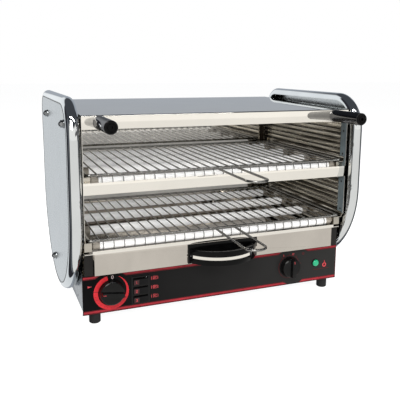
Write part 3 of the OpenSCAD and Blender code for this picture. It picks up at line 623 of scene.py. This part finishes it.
def line_frame(look):
    """Marks laid on the frame: front posts with a dull blue-grey face that is a painted reflection and dark
    discs over their holes as painted shade, dark strips under the beads of the side walls as painted
    shadow, light strips along the beads as painted highlights, and a dark brown strip in each back corner."""
    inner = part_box("side_wall_right")[1].x * 1000 - BEAD_OUT
    for side, name in ((-1, "left"), (1, "right")):
        def add(piece, shape, material):
            make_piece(f"{piece}_{name}", *shape, look[material], slot="inner_steel")

        x = sorted((side * (inner - 0.25), side * (inner - 0.02)))
        # Painted reflection: the post's dull blue-grey face stands for what its steel reflects
        add("post_face_painted_reflection", box_mesh(place(x[0], POST_FRONT + 0.2, POST_LOW),
                                  place(x[1], POST_FRONT + POST_DEPTH - 0.2, POST_HIGH)), "post")
        x_edge = sorted((side * (inner - 0.05), side * (inner + 1.25)))
        add("post_edge", box_mesh(place(x_edge[0], POST_FRONT - 0.15, POST_LOW),
                                  place(x_edge[1], POST_FRONT - 0.02, POST_HIGH)), "post_edge")
        # Painted shade: dark discs over the holes
        add("post_holes", hole_discs(side * (inner - 0.3), side * (inner - 0.26)), "socket")
        # Painted shadow: dark strips just under each bead
        add("rib_painted_shadows", along_beads(x, -4.4, -2.3), "bead_painted_shadow")
        # Painted highlights: light strips along each bead
        add("rib_glints", along_beads(x, 1.2, 2.8), "glint")
        x_corner = sorted((side * (inner - 12.5), side * (inner - 1)))
        add("corner_strip", box_mesh(place(x_corner[0], 344.9, 80), place(x_corner[1], 345.6, 370)),
            "corner")


def crease_cheeks(look):
    """A dark strip painted along the crease between each cheek's flat face and its rolled rim: painted
    shade.
    """
    back_round, front_round = 0.033, 0.063
    for side, name in ((-1, "left"), (1, "right")):
        low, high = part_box(f"cheek_{name}")
        x = low.x if side < 0 else high.x
        radius = (high.y - low.y) / 2
        # Centre, radius, start, end and number of steps of each arc round the plate
        corners = [((low.y + high.y) / 2, low.z + radius, radius, 180, 360, 32),
                   (high.y - back_round, high.z - back_round, back_round, 0, 90, 10),
                   (low.y + front_round, high.z - front_round, front_round, 90, 180, 10)]
        points, faces = [], []
        for out in (0.0004, 0.0001):
            for inset in (0.0002, 0.0022):
                for cy, cz, r, start, end, steps in corners:
                    points += [Vector((x + side * out, py, pz))
                               for py, pz in arc(cy, cz, r - inset, start, end, steps)]
        count = len(points) // 4
        for i in range(count):
            j = (i + 1) % count
            for a, b in ((0, 1), (3, 2), (1, 3), (2, 0)):
                faces.append((a * count + i, a * count + j, b * count + j, b * count + i))
        make_piece(f"cheek_crease_painted_shade_{name}", points, faces, look["shade"], slot="cheek_steel")


def weld_racks(look):
    """Small flattened weld beads where the wires cross the rods of a rack."""
    seed = bmesh.new()
    bmesh.ops.create_icosphere(seed, subdivisions=2, radius=1.0)
    shape = [v.co.copy() for v in seed.verts]
    triangles = [tuple(v.index for v in f.verts) for f in seed.faces]
    seed.free()
    wires, pitch, rod_radius = 26, 20, 0.0025
    long, deep, thick = 0.0021, 0.0028, 0.0018     # half the size of a bead along X, Y and Z
    for name, body in (("upper_rack", "upper_rack_body"), ("lower_rack", "lower_rack_body")):
        low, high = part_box(name)
        level = (low.z + high.z) / 2 + 0.0004
        points, faces = [], []
        for i in range(wires):
            x = (i - (wires - 1) / 2) * pitch * MM
            for j, y in enumerate((low.y + rod_radius, high.y - rod_radius)):
                swell = 1 + 0.25 * math.sin(i * 2.3 + j * 1.7)
                start = len(points)
                points += [Vector((x + p.x * long * swell, y + p.y * deep, level + p.z * thick))
                           for p in shape]
                faces += [tuple(start + k for k in t) for t in triangles]
        make_piece(f"{name}_welds", points, faces, look["weld"], body, "wire", smooth=True)


def light_lens(look):
    """A small pale painted highlight on the pilot lens."""
    low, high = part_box("pilot_lens")
    cx, cz = (low.x + high.x) / 2 * 1000, ((low.z + high.z) / 2 - EDGE_Z) * 1000
    depth = (low.y - FACE_Y) * 1000

    def dome(x, z):
        """A point on the lens's domed front."""
        return place(x, depth + 0.045 * ((x - cx) ** 2 + (z - cz) ** 2), z)

    spot = Print(lift=-0.4, thick=0.5, surface=dome)
    spot.band([(cx - 3.8 + k * 0.55, cz + 2.4 + 0.1 * k) for k in range(4)],
              [(cx - 3.4 + k * 0.55, cz + 3.8 - 0.1 * k) for k in range(4)])
    spot.finish("lens_glint", look["lens_painted_highlight"], slot="green_lens")


# ------------------------------------------------------------------ studio

# What metal sees round the machine, which the camera does not: sectors of the horizon in degrees
# from straight ahead of it, positive towards its left, with the colour of each
SECTORS = [(-62, 70, (1.0, 0.985, 0.95)), (86, 94, (0.26, 0.28, 0.30)),
           (-96, -84, (0.30, 0.32, 0.34)), (138, 178, (0.90, 0.93, 0.95)),
           (178, 240, (0.38, 0.41, 0.455))]
SOFT = 2.5                              # how far a sector's edge fades, in degrees
DARK = (0.030, 0.030, 0.036)            # between the sectors
OVERHEAD = (0.06, 0.065, 0.075)


class Studio:
    """Adds the nodes that colour the surroundings by their direction from the machine."""

    def __init__(self, tree):
        self.tree = tree

    def math(self, kind, a, b=None):
        made = self.tree.nodes.new("ShaderNodeMath")
        made.operation = kind
        for socket, value in zip(made.inputs, (a, b)):
            if isinstance(value, (int, float)):
                socket.default_value = value
            elif value is not None:
                self.tree.links.new(value, socket)
        return made.outputs[0]

    def step(self, value, low, high):
        made = self.tree.nodes.new("ShaderNodeMapRange")
        made.interpolation_type = "SMOOTHSTEP"
        made.inputs["From Min"].default_value = low
        made.inputs["From Max"].default_value = high
        self.tree.links.new(value, made.inputs["Value"])
        return made.outputs["Result"]

    def mix(self, factor, a, b):
        made = self.tree.nodes.new("ShaderNodeMix")
        made.data_type = "RGBA"
        self.tree.links.new(factor, made.inputs["Factor"])
        for socket, value in ((made.inputs[6], a), (made.inputs[7], b)):
            if isinstance(value, tuple):
                socket.default_value = (*value, 1)
            else:
                self.tree.links.new(value, socket)
        return made.outputs[2]

    def horizon(self, x, y):
        """The colour of the sector that the direction (x, y) lies in."""
        flat = self.math("SQRT", self.math("ADD", self.math("MULTIPLY", x, x), self.math("MULTIPLY", y, y)))
        flat = self.math("MAXIMUM", flat, 0.001)
        colour = DARK
        for low, high, shade in SECTORS:
            middle, half = math.radians((low + high) / 2), (high - low) / 2
            along = self.math("DIVIDE", self.math("ADD", self.math("MULTIPLY", x, -math.sin(middle)),
                                                  self.math("MULTIPLY", y, -math.cos(middle))), flat)
            inside = self.step(along, math.cos(math.radians(half + SOFT)),
                               math.cos(math.radians(half - SOFT)))
            colour = self.mix(inside, colour, shade)
        return colour


def make_floor():
    """A plain white floor to the camera. To every other ray it has the colour of the sector that the
    spot lies in, as seen from the machine, so metal reflects the studio down to the floor."""
    reach = 15
    mesh = bpy.data.meshes.new("floor")
    mesh.from_pydata([(-reach, -reach, 0), (reach, -reach, 0), (reach, reach, 0), (-reach, reach, 0)],
                     [], [(0, 1, 2, 3)])
    floor = bpy.data.objects.new("floor", mesh)
    scene.collection.objects.link(floor)
    s = Shader("floor_white", (0.32, 0.32, 0.32), 0.9, Specular_IOR_Level=0.0)
    s.colour(s.ramp(s.noise(0.6, 2), (0.31, 0.31, 0.31), (0.33, 0.33, 0.33)))
    s.shader.inputs["Emission Color"].default_value = (1, 1, 1, 1)
    s.shader.inputs["Emission Strength"].default_value = 0.92
    studio = Studio(s.tree)
    spot = s.node("ShaderNodeSeparateXYZ")
    s.link(s.node("ShaderNodeTexCoord").outputs["Object"], spot.inputs[0])
    x, y = spot.outputs[0], spot.outputs[1]
    half_width, ahead = 0.29, 0.09      # the machine's half width; the sectors' centre, to the front
    nearest = studio.math("MAXIMUM", studio.math("MINIMUM", x, half_width), -half_width)
    past_side = studio.math("SUBTRACT", x, nearest)
    wall = s.node("ShaderNodeEmission")
    s.link(studio.horizon(past_side, studio.math("ADD", y, ahead)), wall.inputs["Color"])
    wall.inputs["Strength"].default_value = 0.86
    choose = s.node("ShaderNodeMixShader")
    s.link(s.node("ShaderNodeLightPath").outputs["Is Camera Ray"], choose.inputs[0])
    s.link(wall.outputs[0], choose.inputs[1])
    s.link(s.shader.outputs[0], choose.inputs[2])
    s.link(choose.outputs[0], s.tree.nodes["Material Output"].inputs["Surface"])
    mesh.materials.append(s.material)


def make_world():
    """White to the camera. To every other ray it has the sectors' colours, dark overhead."""
    world = bpy.data.worlds.new("studio")
    world.use_nodes = True
    scene.world = world
    tree = world.node_tree
    tree.nodes.clear()
    studio = Studio(tree)
    out = tree.nodes.new("ShaderNodeOutputWorld")
    parts = tree.nodes.new("ShaderNodeSeparateXYZ")
    tree.links.new(tree.nodes.new("ShaderNodeTexCoord").outputs["Generated"], parts.inputs[0])
    x, y, z = parts.outputs
    colour = studio.mix(studio.step(z, 0.45, 0.62), studio.horizon(x, y), OVERHEAD)
    seen = tree.nodes.new("ShaderNodeLightPath").outputs["Is Camera Ray"]
    light = tree.nodes.new("ShaderNodeBackground")
    tree.links.new(studio.mix(seen, colour, (1.0, 1.0, 1.0)), light.inputs["Color"])
    tree.links.new(light.outputs[0], out.inputs[0])


def add_area(name, at, target, size, power, colour=(1, 1, 1)):
    data = bpy.data.lights.new(name, "AREA")
    data.shape = "RECTANGLE"
    data.size, data.size_y = size
    data.energy = power
    data.color = colour
    lamp = bpy.data.objects.new(name, data)
    scene.collection.objects.link(lamp)
    lamp.location = at
    lamp.rotation_euler = (Vector(target) - Vector(at)).to_track_quat("-Z", "Y").to_euler()
    return lamp


def make_lights():
    """Soft lamps round the machine. Only the key and the strip show in polished metal."""
    middle = (0, 0, 0.2)
    for lamp in (add_area("key", (-1.2, -2.2, 2.2), middle, (1.6, 1.2), 55, (1, 0.98, 0.95)),
                 add_area("fill", (2.0, -2.0, 1.4), middle, (1.6, 1.6), 26, (1, 0.99, 0.97)),
                 add_area("top", (0, 0.3, 2.6), middle, (2.4, 1.8), 45, (0.95, 0.97, 1)),
                 add_area("strip", (-0.15, -0.75, 1.5), (0, -0.05, 0.15), (1.6, 0.07), 5),
                 add_area("rear", (-0.6, 2.6, 1.8), middle, (2.0, 1.4), 35)):
        lamp.visible_glossy = lamp.name in ("key", "strip")


make_camera()
scene.view_settings.view_transform = "Standard"
look = make_materials()
dress_nodes(look)
print_panel(look)
mark_rockers(look)
line_knobs(look)
line_frame(look)
crease_cheeks(look)
weld_racks(look)
light_lens(look)
make_floor()
make_world()
make_lights()
